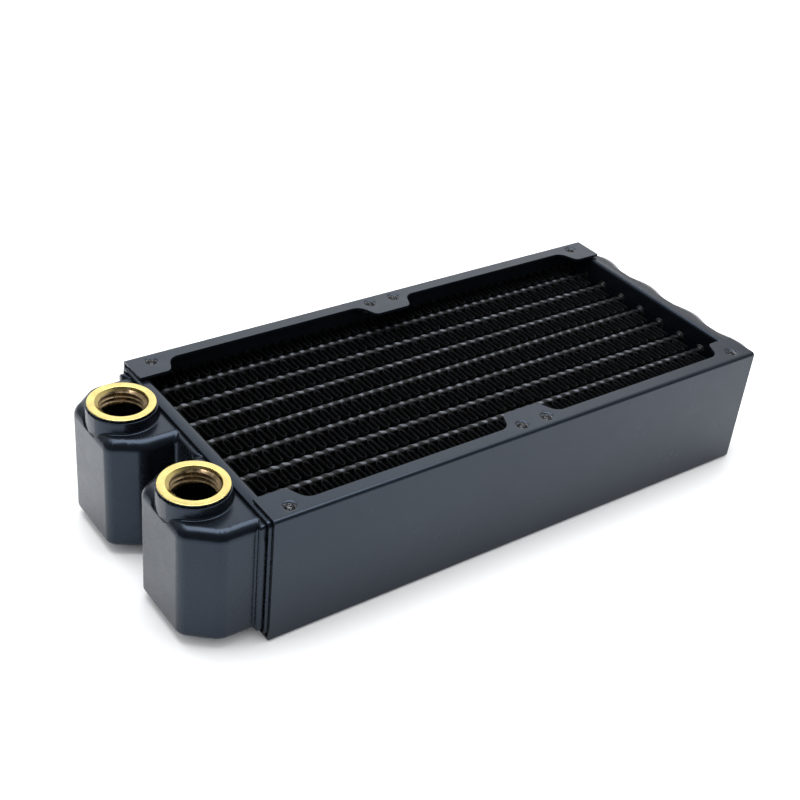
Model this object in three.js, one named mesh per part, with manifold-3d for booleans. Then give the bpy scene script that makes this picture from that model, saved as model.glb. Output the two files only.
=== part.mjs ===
// Liquid cooling radiator that carries a row of two 80 mm fans.
//
// Eight flat tubes run between two header plates, with a folded fin strip in each space beside
// them. A tank with two tall chambers and two threaded ports closes the -X end, a fluted return
// tank closes the +X end, and two folded side panels carry the fan screws, above and below.
// Everything is soldered, so nothing moves. Millimetres, +Z up. The origin is at the bottom
// centre of the whole part's bounding box.

import * as THREE from 'three';
import { mergeVertices } from 'three/addons/utils/BufferGeometryUtils.js';
import Module from 'manifold-3d';

const wasm = await Module();
wasm.setup();

// ----- fans and frame -----
const FAN_COUNT = 2;
const FAN_SIZE = 80; // side of one square fan
const FAN_HOLE_INSET = 4.25; // edge of a fan to the centre of its screw hole
const FRAME_HEIGHT = 37.6;
const FRAME_SIDE_INSET = 0.4; // the frame is this much narrower than a fan on each side
const FRAME_END_MARGIN = 2.05; // the panels run this far past the row of fans at each end

// ----- side panels -----
const PANEL_SHEET = 0.8;
const PANEL_BEND_RADIUS = 1.5; // outer radius of the folds
const FLANGE_WIDTH = 4.4;
const TAB_REACH = 10.2; // outer face of the panel to the tip of a screw tab
const TAB_FLARE = 2.5; // a tab widens by this much on each side towards its root
const END_TAB_HALF_WIDTH = 7; // at the tip, about the edge of the last fan
const MIDDLE_TAB_HALF_WIDTH = 6; // at the tip, about the seam between two fans
const SCREW_HOLE_DIAMETER = 3;

// ----- core -----
const TUBE_COUNT = 8;
const TUBE_THICKNESS = 2;
const TUBE_WALL = 0.4;
const TUBE_PROTRUSION = 1; // how far a tube stands out of its header plate, into the tank
const CORE_RECESS = 6.8; // fan face to the edge of the tubes, above and below
const FIN_SHEET = 0.25;
const FIN_PERIOD = 3.33; // one full fold
const FIN_END_SPACE = 1.2; // header plate to the end of a fin strip

// ----- header plates -----
const HEADER_SHEET = 0.8;
const HEADER_DEPTH = 3.5; // height of the tray's rim, with its floor
const HEADER_CORNER_RADIUS = 1.5;
const HEADER_INSET = 2.85; // end of a panel to the core side of the header plate

// ----- tanks -----
const TANK_WALL = 1;
const RIM_STANDOUT = 1.7; // edge of the header plate to the shoulder of the tank
const RIM_EDGE_RADIUS = 1;
const SHOULDER_STEP = 1.4; // the body of a tank is this much narrower than its rim, each side
const CHAMBER_EDGE_RADIUS = 3;
const CHAMBER_FACE_WIDTH = 20;
const CHAMBER_CHAMFER = 8; // length along X of the slanted corners
const VALLEY_WIDTH = 9; // free space between the two chambers
const DIVIDER_THICKNESS = 1;
const RETURN_DEPTH = 5.6; // shoulder to the middle of the flutes
const RETURN_EDGE_RADIUS = 7;
const RETURN_CORNER_RADIUS = 6; // upright corners
const RETURN_END_EDGE_RADIUS = 3;
const FLUTE_COUNT = 4;
const FLUTE_HEIGHT = 1.4; // crest and root, from the middle of the flutes

// ----- ports, G1/4 thread -----
const PORT_SPACING = 38.8;
const THREAD_MAJOR_DIAMETER = 13.157;
const THREAD_DEPTH = 0.856;
const THREAD_LEAD_IN = 1.2;
const BUSH_WALL = 1.32; // root of the thread to the outside of the bush
const BUSH_RIM_WIDTH = 0.95; // the rim stands out this far from the body
const BUSH_RIM_THICKNESS = 0.6;
const BUSH_LENGTH = 12;
const NECK_WALL = 1;
const NECK_HEIGHT = 3.2; // above the top of the chamber
const NECK_END_MARGIN = 0.1; // neck to the outer face of its chamber

// ----- clearances -----
const SOLDER_GAP = 0.3;
const TAB_GAP = 0.4; // screw tab to the header plate under it
const CUT_OVERRUN = 2; // a cutting solid runs this far past what it cuts

// ----- resolution -----
const ROUND_SEGMENTS = 40;
const HOLE_SEGMENTS = 16;
const BEND_SEGMENTS = 3; // a round corner gets twice as many facets
const EDGE_SEGMENTS = 3;
const STEPS_PER_FLUTE = 6; // even, so that a step lands on each crest

// ----- derived places, with the middle of the row of fans at x = 0, y = 0 -----
const frameHalfLength = (FAN_COUNT * FAN_SIZE) / 2 + FRAME_END_MARGIN;
const frameHalfWidth = FAN_SIZE / 2 - FRAME_SIDE_INSET;
const panelInnerY = frameHalfWidth - PANEL_SHEET;
const coreHalfLength = frameHalfLength - HEADER_INSET;
const coreBottom = CORE_RECESS;
const coreTop = FRAME_HEIGHT - CORE_RECESS;
const headerFloorX = coreHalfLength + HEADER_SHEET; // tank side of the header plate
const headerRimX = coreHalfLength + HEADER_DEPTH;
const headerBottom = PANEL_SHEET + TAB_GAP;
const headerTop = FRAME_HEIGHT - headerBottom;
const headerHalfWidth = panelInnerY - SOLDER_GAP;
const mouthX = headerFloorX + SOLDER_GAP; // open edge of a tank
const shoulderX = headerRimX + RIM_STANDOUT;
const tankBottom = headerBottom + HEADER_SHEET + SOLDER_GAP;
const tankTop = FRAME_HEIGHT - tankBottom;
const rimHalfWidth = headerHalfWidth - HEADER_SHEET - SOLDER_GAP;
const bodyHalfWidth = rimHalfWidth - SHOULDER_STEP;
const returnMiddleX = shoulderX + RETURN_DEPTH;
const returnFaceX = returnMiddleX + FLUTE_HEIGHT;
const flutePitch = (2 * panelInnerY) / FLUTE_COUNT;
const finHeight = (2 * panelInnerY - TUBE_COUNT * TUBE_THICKNESS) / (TUBE_COUNT + 1);
const tubePitch = finHeight + TUBE_THICKNESS;
const bushBodyRadius = THREAD_MAJOR_DIAMETER / 2 + BUSH_WALL;
const bushRimRadius = bushBodyRadius + BUSH_RIM_WIDTH;
const boreRadius = THREAD_MAJOR_DIAMETER / 2 - THREAD_DEPTH;
const neckInnerRadius = bushBodyRadius + SOLDER_GAP;
const neckRadius = neckInnerRadius + NECK_WALL;
const neckTop = tankTop + NECK_HEIGHT;
const bushTop = neckTop + SOLDER_GAP + BUSH_RIM_THICKNESS;
const portX = headerRimX + SOLDER_GAP + neckRadius;
const chamberFaceX = portX + neckRadius + NECK_END_MARGIN;

// ----- finishes -----
const FINISHES = {
  panelPaint: { color: 0x3f464d, roughness: 0.42, metalness: 0.25 },
  tankPaint: { color: 0x394047, roughness: 0.36, metalness: 0.25 },
  corePaint: { color: 0x0d0f12, roughness: 0.6, metalness: 0.3 },
  brass: { color: 0xe3c56b, roughness: 0.24, metalness: 1 },
};

const radiator = new THREE.Group();
const frameCentred = new THREE.Group();
frameCentred.position.x = (chamberFaceX - returnFaceX) / 2;
radiator.add(frameCentred);

// ----- from geometry to solid and back -----

function toSolid(geometry) {
  const bare = geometry.index ? geometry.toNonIndexed() : geometry.clone();
  bare.deleteAttribute('normal');
  bare.deleteAttribute('uv');
  const merged = mergeVertices(bare, 1e-4);
  return new wasm.Manifold(new wasm.Mesh({
    numProp: 3,
    vertProperties: Float32Array.from(merged.attributes.position.array),
    triVerts: Uint32Array.from(merged.index.array),
  }));
}

function toGeometry(solid) {
  const mesh = solid.getMesh();
  const geometry = new THREE.BufferGeometry();
  geometry.setAttribute('position', new THREE.BufferAttribute(Float32Array.from(mesh.vertProperties), 3));
  geometry.setIndex(new THREE.BufferAttribute(Uint32Array.from(mesh.triVerts), 1));
  return geometry.toNonIndexed();
}

function place(name, solid, finish) {
  const geometry = toGeometry(solid);
  geometry.computeVertexNormals();
  const mesh = new THREE.Mesh(geometry, new THREE.MeshStandardMaterial(FINISHES[finish]));
  mesh.name = name;
  frameCentred.add(mesh);
}

function uniteAll(solids) {
  return solids.reduce((sum, solid) => sum.add(solid));
}

function cutAll(solid, cutters) {
  return cutters.reduce((rest, cutter) => rest.subtract(cutter), solid);
}

// ----- extrusions -----

// A plan outline raised from bottom to top, with its upper and lower edges rounded if asked.
function raise(shape, bottom, top, edgeRadius = 0) {
  const geometry = new THREE.ExtrudeGeometry(shape, {
    depth: top - bottom - 2 * edgeRadius,
    curveSegments: BEND_SEGMENTS,
    bevelEnabled: edgeRadius > 0,
    bevelThickness: edgeRadius,
    bevelSize: edgeRadius,
    bevelOffset: -edgeRadius,
    bevelSegments: EDGE_SEGMENTS,
  });
  geometry.translate(0, 0, bottom + edgeRadius);
  return toSolid(geometry);
}

// A section drawn with y across and z up, run along x from start to end.
function runAlongX(shape, start, end) {
  const geometry = new THREE.ExtrudeGeometry(shape, {
    depth: end - start,
    curveSegments: BEND_SEGMENTS,
    bevelEnabled: false,
  });
  const turn = new THREE.Matrix4().makeBasis(
    new THREE.Vector3(0, 1, 0),
    new THREE.Vector3(0, 0, 1),
    new THREE.Vector3(1, 0, 0),
  );
  geometry.applyMatrix4(turn);
  geometry.translate(start, 0, 0);
  return toSolid(geometry);
}

function uprightCylinder(x, y, radius, bottom, top, segments) {
  const geometry = new THREE.CylinderGeometry(radius, radius, top - bottom, segments);
  geometry.rotateX(Math.PI / 2);
  geometry.translate(x, y, (top + bottom) / 2);
  return toSolid(geometry);
}

function block(x0, x1, y0, y1, z0, z1) {
  const geometry = new THREE.BoxGeometry(x1 - x0, y1 - y0, z1 - z0);
  geometry.translate((x0 + x1) / 2, (y0 + y1) / 2, (z0 + z1) / 2);
  return toSolid(geometry);
}

// ----- outlines -----

function polygon(points) {
  return new THREE.Shape(points.map(([x, y]) => new THREE.Vector2(x, y)));
}

function roundedRectangle(halfWidth, bottom, top, radius) {
  const shape = new THREE.Shape();
  shape.moveTo(-halfWidth + radius, bottom);
  shape.lineTo(halfWidth - radius, bottom);
  shape.absarc(halfWidth - radius, bottom + radius, radius, -Math.PI / 2, 0);
  shape.lineTo(halfWidth, top - radius);
  shape.absarc(halfWidth - radius, top - radius, radius, 0, Math.PI / 2);
  shape.lineTo(-halfWidth + radius, top);
  shape.absarc(-halfWidth + radius, top - radius, radius, Math.PI / 2, Math.PI);
  shape.lineTo(-halfWidth, bottom + radius);
  shape.absarc(-halfWidth + radius, bottom + radius, radius, Math.PI, 1.5 * Math.PI);
  return shape;
}

// The section of a flat tube: two straight sides joined by half rounds.
function flatTubeSection(y, bottom, top, halfThickness, Outline = THREE.Shape) {
  const outline = new Outline();
  outline.moveTo(y + halfThickness, bottom + halfThickness);
  outline.lineTo(y + halfThickness, top - halfThickness);
  outline.absarc(y, top - halfThickness, halfThickness, 0, Math.PI);
  outline.lineTo(y - halfThickness, bottom + halfThickness);
  outline.absarc(y, bottom + halfThickness, halfThickness, Math.PI, 2 * Math.PI);
  return outline;
}

// The same convex outline with every side moved inwards. Points run anticlockwise.
function insetOutline(points, distance) {
  const sides = points.map((start, i) => {
    const end = points[(i + 1) % points.length];
    const along = new THREE.Vector2(end[0] - start[0], end[1] - start[1]).normalize();
    const inward = new THREE.Vector2(-along.y, along.x);
    return { inward, offset: inward.dot(new THREE.Vector2(...start)) + distance };
  });
  return sides.map((side, i) => {
    const before = sides[(i + sides.length - 1) % sides.length];
    const cross = before.inward.cross(side.inward);
    const x = (before.offset * side.inward.y - side.offset * before.inward.y) / cross;
    const y = (side.offset * before.inward.x - before.offset * side.inward.x) / cross;
    return [x, y];
  });
}

// ----- side panels -----

function channelSection() {
  const lip = -(frameHalfWidth - TAB_REACH);
  const bendY = -(frameHalfWidth - PANEL_BEND_RADIUS);
  const lowBend = PANEL_BEND_RADIUS;
  const highBend = FRAME_HEIGHT - PANEL_BEND_RADIUS;
  const innerRadius = PANEL_BEND_RADIUS - PANEL_SHEET;
  const section = new THREE.Shape();
  section.moveTo(lip, FRAME_HEIGHT);
  section.lineTo(bendY, FRAME_HEIGHT);
  section.absarc(bendY, highBend, PANEL_BEND_RADIUS, Math.PI / 2, Math.PI);
  section.lineTo(-frameHalfWidth, lowBend);
  section.absarc(bendY, lowBend, PANEL_BEND_RADIUS, Math.PI, 1.5 * Math.PI);
  section.lineTo(lip, 0);
  section.lineTo(lip, PANEL_SHEET);
  section.lineTo(bendY, PANEL_SHEET);
  section.absarc(bendY, lowBend, innerRadius, 1.5 * Math.PI, Math.PI, true);
  section.lineTo(-panelInnerY, highBend);
  section.absarc(bendY, highBend, innerRadius, Math.PI, Math.PI / 2, true);
  section.lineTo(lip, FRAME_HEIGHT - PANEL_SHEET);
  return section;
}

function fanSeams() {
  return Array.from({ length: FAN_COUNT + 1 }, (_, i) => (i - FAN_COUNT / 2) * FAN_SIZE);
}

// Everything that the flanges may cover: a strip along the frame's edge and a tab at each seam.
function panelPlan() {
  const outerY = -frameHalfWidth;
  const flangeY = outerY + FLANGE_WIDTH;
  const tipY = outerY + TAB_REACH;
  const strip = block(-frameHalfLength, frameHalfLength, outerY, flangeY, 0, FRAME_HEIGHT);
  const tabs = fanSeams().map((x, i) => {
    const isEnd = i === 0 || i === FAN_COUNT;
    const tipHalf = isEnd ? END_TAB_HALF_WIDTH : MIDDLE_TAB_HALF_WIDTH;
    const rootHalf = tipHalf + TAB_FLARE;
    const outline = polygon([
      [x - rootHalf, outerY],
      [x + rootHalf, outerY],
      [x + rootHalf, flangeY],
      [x + tipHalf, tipY],
      [x - tipHalf, tipY],
      [x - rootHalf, flangeY],
    ]);
    return raise(outline, 0, FRAME_HEIGHT);
  });
  return uniteAll([strip, ...tabs]);
}

function screwHoles() {
  const y = -(FAN_SIZE / 2 - FAN_HOLE_INSET);
  const seams = fanSeams();
  const places = seams.flatMap((x) => [x - FAN_HOLE_INSET, x + FAN_HOLE_INSET]).slice(1, -1);
  const radius = SCREW_HOLE_DIAMETER / 2;
  return places.map((x) =>
    uprightCylinder(x, y, radius, -CUT_OVERRUN, FRAME_HEIGHT + CUT_OVERRUN, HOLE_SEGMENTS));
}

function buildSidePanel() {
  const channel = runAlongX(channelSection(), -frameHalfLength, frameHalfLength);
  return cutAll(channel.intersect(panelPlan()), screwHoles());
}

// ----- header plates -----

function tubeY(index) {
  return (index - (TUBE_COUNT - 1) / 2) * tubePitch;
}

function buildHeaderPlate() {
  const outer = roundedRectangle(headerHalfWidth, headerBottom, headerTop, HEADER_CORNER_RADIUS);
  const inner = roundedRectangle(
    headerHalfWidth - HEADER_SHEET,
    headerBottom + HEADER_SHEET,
    headerTop - HEADER_SHEET,
    HEADER_CORNER_RADIUS - HEADER_SHEET,
  );
  const tray = runAlongX(outer, coreHalfLength, headerRimX)
    .subtract(runAlongX(inner, headerFloorX, headerRimX + CUT_OVERRUN));
  const slots = Array.from({ length: TUBE_COUNT }, (_, i) => {
    const slot = flatTubeSection(
      tubeY(i),
      coreBottom - SOLDER_GAP,
      coreTop + SOLDER_GAP,
      TUBE_THICKNESS / 2 + SOLDER_GAP,
    );
    return runAlongX(slot, coreHalfLength - CUT_OVERRUN, headerFloorX + CUT_OVERRUN);
  });
  return cutAll(tray, slots);
}

// ----- core -----

function buildTube(index) {
  const y = tubeY(index);
  const section = flatTubeSection(y, coreBottom, coreTop, TUBE_THICKNESS / 2);
  const bore = flatTubeSection(
    y,
    coreBottom + TUBE_WALL,
    coreTop - TUBE_WALL,
    TUBE_THICKNESS / 2 - TUBE_WALL,
    THREE.Path,
  );
  section.holes.push(bore);
  const endX = headerFloorX + TUBE_PROTRUSION;
  return runAlongX(section, -endX, endX);
}

// One strip of sheet folded to and fro between two neighbouring tubes.
function buildFinStrip(index) {
  const middleY = (index - TUBE_COUNT / 2) * tubePitch;
  const halfHeight = finHeight / 2 - SOLDER_GAP;
  const foldStep = FIN_PERIOD / 2;
  const folds = 2 * Math.floor((coreHalfLength - FIN_END_SPACE) / FIN_PERIOD);
  const slope = Math.atan2(2 * halfHeight, foldStep);
  const halfSheetY = FIN_SHEET / 2 / Math.cos(slope);
  const swing = halfHeight - halfSheetY;
  const crests = Array.from({ length: 2 * folds + 1 }, (_, i) => [
    (i - folds) * foldStep,
    middleY + (i % 2 === 0 ? -swing : swing),
  ]);
  const lower = crests.map(([x, y]) => [x, y - halfSheetY]);
  const upper = crests.map(([x, y]) => [x, y + halfSheetY]).reverse();
  return raise(polygon([...lower, ...upper]), coreBottom, coreTop);
}

// ----- tanks -----

// The rim that sits in a header plate's tray, and the shoulder behind it.
function tankRim(inset) {
  const halfWidth = rimHalfWidth - inset;
  const outline = polygon([
    [mouthX - CUT_OVERRUN, -halfWidth],
    [shoulderX - inset, -halfWidth],
    [shoulderX - inset, halfWidth],
    [mouthX - CUT_OVERRUN, halfWidth],
  ]);
  const radius = Math.max(RIM_EDGE_RADIUS - inset, 0);
  return raise(outline, tankBottom + inset, tankTop - inset, radius);
}

// One port chamber, on the +X, +Y side.
function chamber(inset) {
  const chamferX = chamberFaceX - CHAMBER_CHAMFER;
  const faceInnerY = (PORT_SPACING - CHAMBER_FACE_WIDTH) / 2;
  const faceOuterY = (PORT_SPACING + CHAMBER_FACE_WIDTH) / 2;
  const outline = insetOutline([
    [mouthX - CHAMBER_EDGE_RADIUS - CUT_OVERRUN, VALLEY_WIDTH / 2],
    [chamferX, VALLEY_WIDTH / 2],
    [chamberFaceX, faceInnerY],
    [chamberFaceX, faceOuterY],
    [chamferX, bodyHalfWidth],
    [mouthX - CHAMBER_EDGE_RADIUS - CUT_OVERRUN, bodyHalfWidth],
  ], inset);
  return raise(polygon(outline), tankBottom + inset, tankTop - inset, CHAMBER_EDGE_RADIUS - inset);
}

function inTankHalfSpace(solid, farX) {
  const reach = frameHalfWidth + CUT_OVERRUN;
  return solid.intersect(block(mouthX, farX + CUT_OVERRUN, -reach, reach, 0, bushTop));
}

function buildPortTank() {
  const pairOf = (solid) => [solid, solid.mirror([0, 1, 0])];
  const portY = PORT_SPACING / 2;
  const neckRoot = tankTop - CHAMBER_EDGE_RADIUS;
  const neck = uprightCylinder(portX, portY, neckRadius, neckRoot, neckTop, ROUND_SEGMENTS);
  const opening = uprightCylinder(
    portX, portY, neckInnerRadius, tankTop - TANK_WALL - CUT_OVERRUN, neckTop + CUT_OVERRUN, ROUND_SEGMENTS);
  const outside = uniteAll([tankRim(0), ...pairOf(chamber(0)), ...pairOf(neck)]);
  const inside = uniteAll([tankRim(TANK_WALL), ...pairOf(chamber(TANK_WALL))]);
  const shell = cutAll(inTankHalfSpace(outside, chamberFaceX), [inside, ...pairOf(opening)]);
  return shell.mirror([1, 0, 0]);
}

// The plate that parts the inlet chamber from the outlet chamber, behind the valley.
function buildFlowDivider() {
  const webInnerX = shoulderX - TANK_WALL;
  const clearOfTank = TANK_WALL + SOLDER_GAP;
  return block(
    -(webInnerX - SOLDER_GAP),
    -(headerFloorX + SOLDER_GAP),
    -DIVIDER_THICKNESS / 2,
    DIVIDER_THICKNESS / 2,
    tankBottom + clearOfTank,
    tankTop - clearOfTank,
  );
}

// The fluted body runs along y, and its face goes in and out as a wave.
function flutedBody(inset) {
  const faceX = returnMiddleX - inset;
  const radius = RETURN_EDGE_RADIUS - inset;
  const bottom = tankBottom + inset;
  const top = tankTop - inset;
  const backX = mouthX - CUT_OVERRUN;
  const section = new THREE.Shape();
  section.moveTo(backX, bottom);
  section.lineTo(faceX - radius, bottom);
  section.absarc(faceX - radius, bottom + radius, radius, -Math.PI / 2, 0);
  section.lineTo(faceX, top - radius);
  section.absarc(faceX - radius, top - radius, radius, 0, Math.PI / 2);
  section.lineTo(backX, top);
  const geometry = new THREE.ExtrudeGeometry(section, {
    depth: 2 * panelInnerY,
    steps: FLUTE_COUNT * STEPS_PER_FLUTE,
    curveSegments: BEND_SEGMENTS,
    bevelEnabled: false,
  });
  geometry.rotateX(Math.PI / 2);
  geometry.translate(0, panelInnerY, 0);
  bendIntoFlutes(geometry, backX, faceX);
  return toSolid(geometry);
}

function bendIntoFlutes(geometry, backX, faceX) {
  const crestPhase = FLUTE_COUNT % 2 === 0 ? Math.PI : 0;
  const position = geometry.attributes.position;
  for (let i = 0; i < position.count; i += 1) {
    const share = (position.getX(i) - backX) / (faceX - backX);
    const wave = Math.cos((2 * Math.PI * position.getY(i)) / flutePitch + crestPhase);
    position.setX(i, position.getX(i) + share * FLUTE_HEIGHT * wave);
  }
}

// The plan that trims the fluted body's ends: straight sides and two rounded upright corners.
function returnPlan(inset) {
  const frontX = returnFaceX + 2 * FLUTE_HEIGHT - inset;
  const backX = mouthX - RETURN_END_EDGE_RADIUS - CUT_OVERRUN;
  const half = bodyHalfWidth - inset;
  const radius = RETURN_CORNER_RADIUS - inset;
  const plan = new THREE.Shape();
  plan.moveTo(backX, -half);
  plan.lineTo(frontX - radius, -half);
  plan.absarc(frontX - radius, -half + radius, radius, -Math.PI / 2, 0);
  plan.lineTo(frontX, half - radius);
  plan.absarc(frontX - radius, half - radius, radius, 0, Math.PI / 2);
  plan.lineTo(backX, half);
  return raise(plan, tankBottom + inset, tankTop - inset, RETURN_END_EDGE_RADIUS - inset);
}

function buildReturnTank() {
  const layer = (inset) => tankRim(inset).add(flutedBody(inset).intersect(returnPlan(inset)));
  return inTankHalfSpace(layer(0), returnFaceX).subtract(layer(TANK_WALL));
}

// ----- ports -----

function buildPortBush(side) {
  const bottom = bushTop - BUSH_LENGTH;
  const rimBottom = bushTop - BUSH_RIM_THICKNESS;
  const leadInRadius = boreRadius + THREAD_LEAD_IN;
  const profile = [
    [boreRadius, bottom],
    [bushBodyRadius, bottom],
    [bushBodyRadius, rimBottom],
    [bushRimRadius, rimBottom],
    [bushRimRadius, bushTop],
    [leadInRadius, bushTop],
    [boreRadius, bushTop - THREAD_LEAD_IN],
    [boreRadius, bottom],
  ].map(([radius, height]) => new THREE.Vector2(radius, height));
  const geometry = new THREE.LatheGeometry(profile, ROUND_SEGMENTS);
  geometry.rotateX(Math.PI / 2);
  geometry.translate(-portX, (side * PORT_SPACING) / 2, 0);
  return toSolid(geometry);
}

// ----- assembly -----

const sidePanel = buildSidePanel();
place('side_panel_near', sidePanel, 'panelPaint');
place('side_panel_far', sidePanel.mirror([0, 1, 0]), 'panelPaint');

const headerPlate = buildHeaderPlate();
place('header_plate_ports', headerPlate.mirror([1, 0, 0]), 'tankPaint');
place('header_plate_return', headerPlate, 'tankPaint');

for (let i = 0; i < TUBE_COUNT; i += 1) {
  place(`tube_${i + 1}`, buildTube(i), 'corePaint');
}
for (let i = 0; i <= TUBE_COUNT; i += 1) {
  place(`fin_strip_${i + 1}`, buildFinStrip(i), 'corePaint');
}

place('port_tank', buildPortTank(), 'tankPaint');
place('flow_divider', buildFlowDivider(), 'brass');
place('return_tank', buildReturnTank(), 'tankPaint');
place('port_bush_near', buildPortBush(-1), 'brass');
place('port_bush_far', buildPortBush(1), 'brass');

export default radiator;
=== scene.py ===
"""Liquid cooling radiator: the finished surfaces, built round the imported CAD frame.

Every length is in metres and every place is in the frame's own coordinates. The core lies along
X between two header plates. The ports stand on two tall chambers at the -X end.
"""

from math import asin, atan2, cos, hypot, pi, radians, sin

import bmesh
import bpy
from bpy.props import FloatProperty, FloatVectorProperty, IntProperty, PointerProperty
from mathutils import Matrix, Vector


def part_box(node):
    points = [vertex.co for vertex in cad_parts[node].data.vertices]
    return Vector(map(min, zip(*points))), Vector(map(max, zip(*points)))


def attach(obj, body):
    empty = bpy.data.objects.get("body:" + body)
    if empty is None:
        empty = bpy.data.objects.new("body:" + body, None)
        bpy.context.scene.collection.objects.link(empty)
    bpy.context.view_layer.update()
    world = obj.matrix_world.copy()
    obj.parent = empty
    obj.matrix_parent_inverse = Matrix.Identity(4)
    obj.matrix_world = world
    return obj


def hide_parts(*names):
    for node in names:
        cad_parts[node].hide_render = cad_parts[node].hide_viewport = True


bl_info = {
    "name": "Liquid cooling radiator",
    "version": (1, 0, 0),
    "blender": (4, 5, 0),
    "location": "3D View > Sidebar > Radiator",
    "description": "Builds a two-fan liquid cooling radiator round its CAD frame",
    "category": "Add Mesh",
}

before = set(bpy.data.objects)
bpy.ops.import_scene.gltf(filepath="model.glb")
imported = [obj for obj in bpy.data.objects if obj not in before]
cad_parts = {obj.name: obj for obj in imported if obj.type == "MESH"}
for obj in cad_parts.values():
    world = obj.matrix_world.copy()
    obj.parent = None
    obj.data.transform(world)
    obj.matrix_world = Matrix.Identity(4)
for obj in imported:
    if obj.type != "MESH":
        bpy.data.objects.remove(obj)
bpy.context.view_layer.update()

MM = 0.001
MERGE_DISTANCE = 1e-6
CUT_DISTANCE = 1e-8
SHARP_ANGLE = radians(50)

# ----- places taken from the frame -----
PANEL_LOW, PANEL_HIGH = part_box("side_panel_near")
HEADER_LOW, HEADER_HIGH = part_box("header_plate_return")
TUBE_LOW, TUBE_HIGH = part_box("tube_1")
FIN_LOW, FIN_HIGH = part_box("fin_strip_1")
RETURN_LOW, RETURN_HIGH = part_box("return_tank")
PORT_TANK_LOW, PORT_TANK_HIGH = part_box("port_tank")
BUSH_LOW, BUSH_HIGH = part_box("port_bush_far")
TUBES = sorted(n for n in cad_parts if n.startswith("tube_"))
FIN_STRIPS = sorted(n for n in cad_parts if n.startswith("fin_strip_"))

MIDDLE_X = (PANEL_LOW.x + PANEL_HIGH.x) / 2
FRAME_HEIGHT = PANEL_HIGH.z
MIDDLE_Z = FRAME_HEIGHT / 2
OUTER_Y = -PANEL_LOW.y
HEADER_CORE_SIDE = HEADER_LOW.x - MIDDLE_X
HEADER_RIM = HEADER_HIGH.x - MIDDLE_X
MOUTH = RETURN_LOW.x - MIDDLE_X
RETURN_FACE = RETURN_HIGH.x - MIDDLE_X
CHAMBER_FACE = MIDDLE_X - PORT_TANK_LOW.x
TANK_BOTTOM = RETURN_LOW.z
TANK_TOP = RETURN_HIGH.z
RIM_HALF_WIDTH = RETURN_HIGH.y
NECK_TOP = PORT_TANK_HIGH.z
PORT_X = (BUSH_LOW.x + BUSH_HIGH.x) / 2
PORT_REACH = MIDDLE_X - PORT_X
PORT_Y = (BUSH_LOW.y + BUSH_HIGH.y) / 2
BUSH_RIM_RADIUS = (BUSH_HIGH.x - BUSH_LOW.x) / 2
BUSH_TOP = BUSH_HIGH.z
BUSH_BOTTOM = BUSH_LOW.z


# ----- settings a user may change -----


def length(name, description, default_mm):
    return FloatProperty(
        name=name, description=description, default=default_mm * MM, min=0.0, unit="LENGTH", precision=5
    )


def colour(name, description, default):
    return FloatVectorProperty(
        name=name, description=description, default=default, size=3, min=0.0, max=1.0, subtype="COLOR"
    )


def share(name, description, default):
    return FloatProperty(
        name=name, description=description, default=default, min=0.0, max=1.0, subtype="FACTOR"
    )


def count(name, description, default):
    return IntProperty(name=name, description=description, default=default, min=1)


def power(name, description, default):
    return FloatProperty(name=name, description=description, default=default, min=0.0, unit="POWER")


class RadiatorPanelSizes(bpy.types.PropertyGroup):
    fan_size: length("Fan size", "Side of one square fan", 80.0)
    hole_inset: length("Hole inset", "Edge of a fan to the centre of its screw hole", 4.25)
    sheet: length("Sheet", "Thickness of the folded sheet", 0.8)
    bend_radius: length("Bend radius", "Outer radius of the long folds", 1.0)
    flange_width: length("Flange width", "Outer face to the edge of the flange", 4.4)
    tab_flare: length("Tab flare", "A screw tab widens by this much towards its root", 2.5)
    end_tab_half: length("End tab", "Half width of an end tab at its tip", 7.0)
    middle_tab_half: length("Middle tab", "Half width of the middle tab at its tip", 6.0)
    tip_radius: length("Tip radius", "Rounding of a tab's tip corners", 1.1)
    root_radius: length("Root radius", "Rounding where a tab meets the flange", 2.2)
    hole_mouth: length("Hole mouth", "Radius of the drawn-in mouth of a screw hole", 2.25)
    thread_minor: length("Thread minor", "Radius of a screw hole at the thread's crests", 1.28)
    thread_depth: length("Thread depth", "Depth of the screw thread", 0.22)
    thread_pitch: length("Thread pitch", "Pitch of the screw thread", 0.5)
    thread_turns: count("Thread turns", "Turns in a screw hole", 3)
    edge_break: length("Edge break", "Rounding of the cut edges", 0.16)


class RadiatorCoreSizes(bpy.types.PropertyGroup):
    tube_wall: length("Tube wall", "Wall of a flat tube", 0.4)
    fold_step: length("Fold step", "Distance from one fold of a fin strip to the next", 1.665)
    crest_radius: length("Crest radius", "Radius of a fin strip's folds", 0.78)
    fin_sheet: length("Fin sheet", "Thickness of the fin sheet", 0.14)
    louvre_lift: length("Louvre lift", "A louvre's edge stands out from the wall by this much", 0.2)
    louvre_pitch: length("Louvre pitch", "Distance from one louvre to the next", 1.1)
    louvre_count: count("Louvres", "Louvres near each face of a wall", 2)
    solder_swell: length("Solder swell", "Width of the solder where a fold touches a tube", 0.2)
    header_sheet: length("Header sheet", "Thickness of a header plate", 0.8)
    header_bend: length("Header bend", "Outer radius of a header plate's bend", 1.1)
    header_corner: length("Header corner", "Radius of a header plate's corners", 1.5)
    slot_gap: length("Slot gap", "Space between a tube and its slot", 0.25)
    slot_fillet: length("Slot fillet", "Solder fillet round a tube at its header plate", 0.8)


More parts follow.
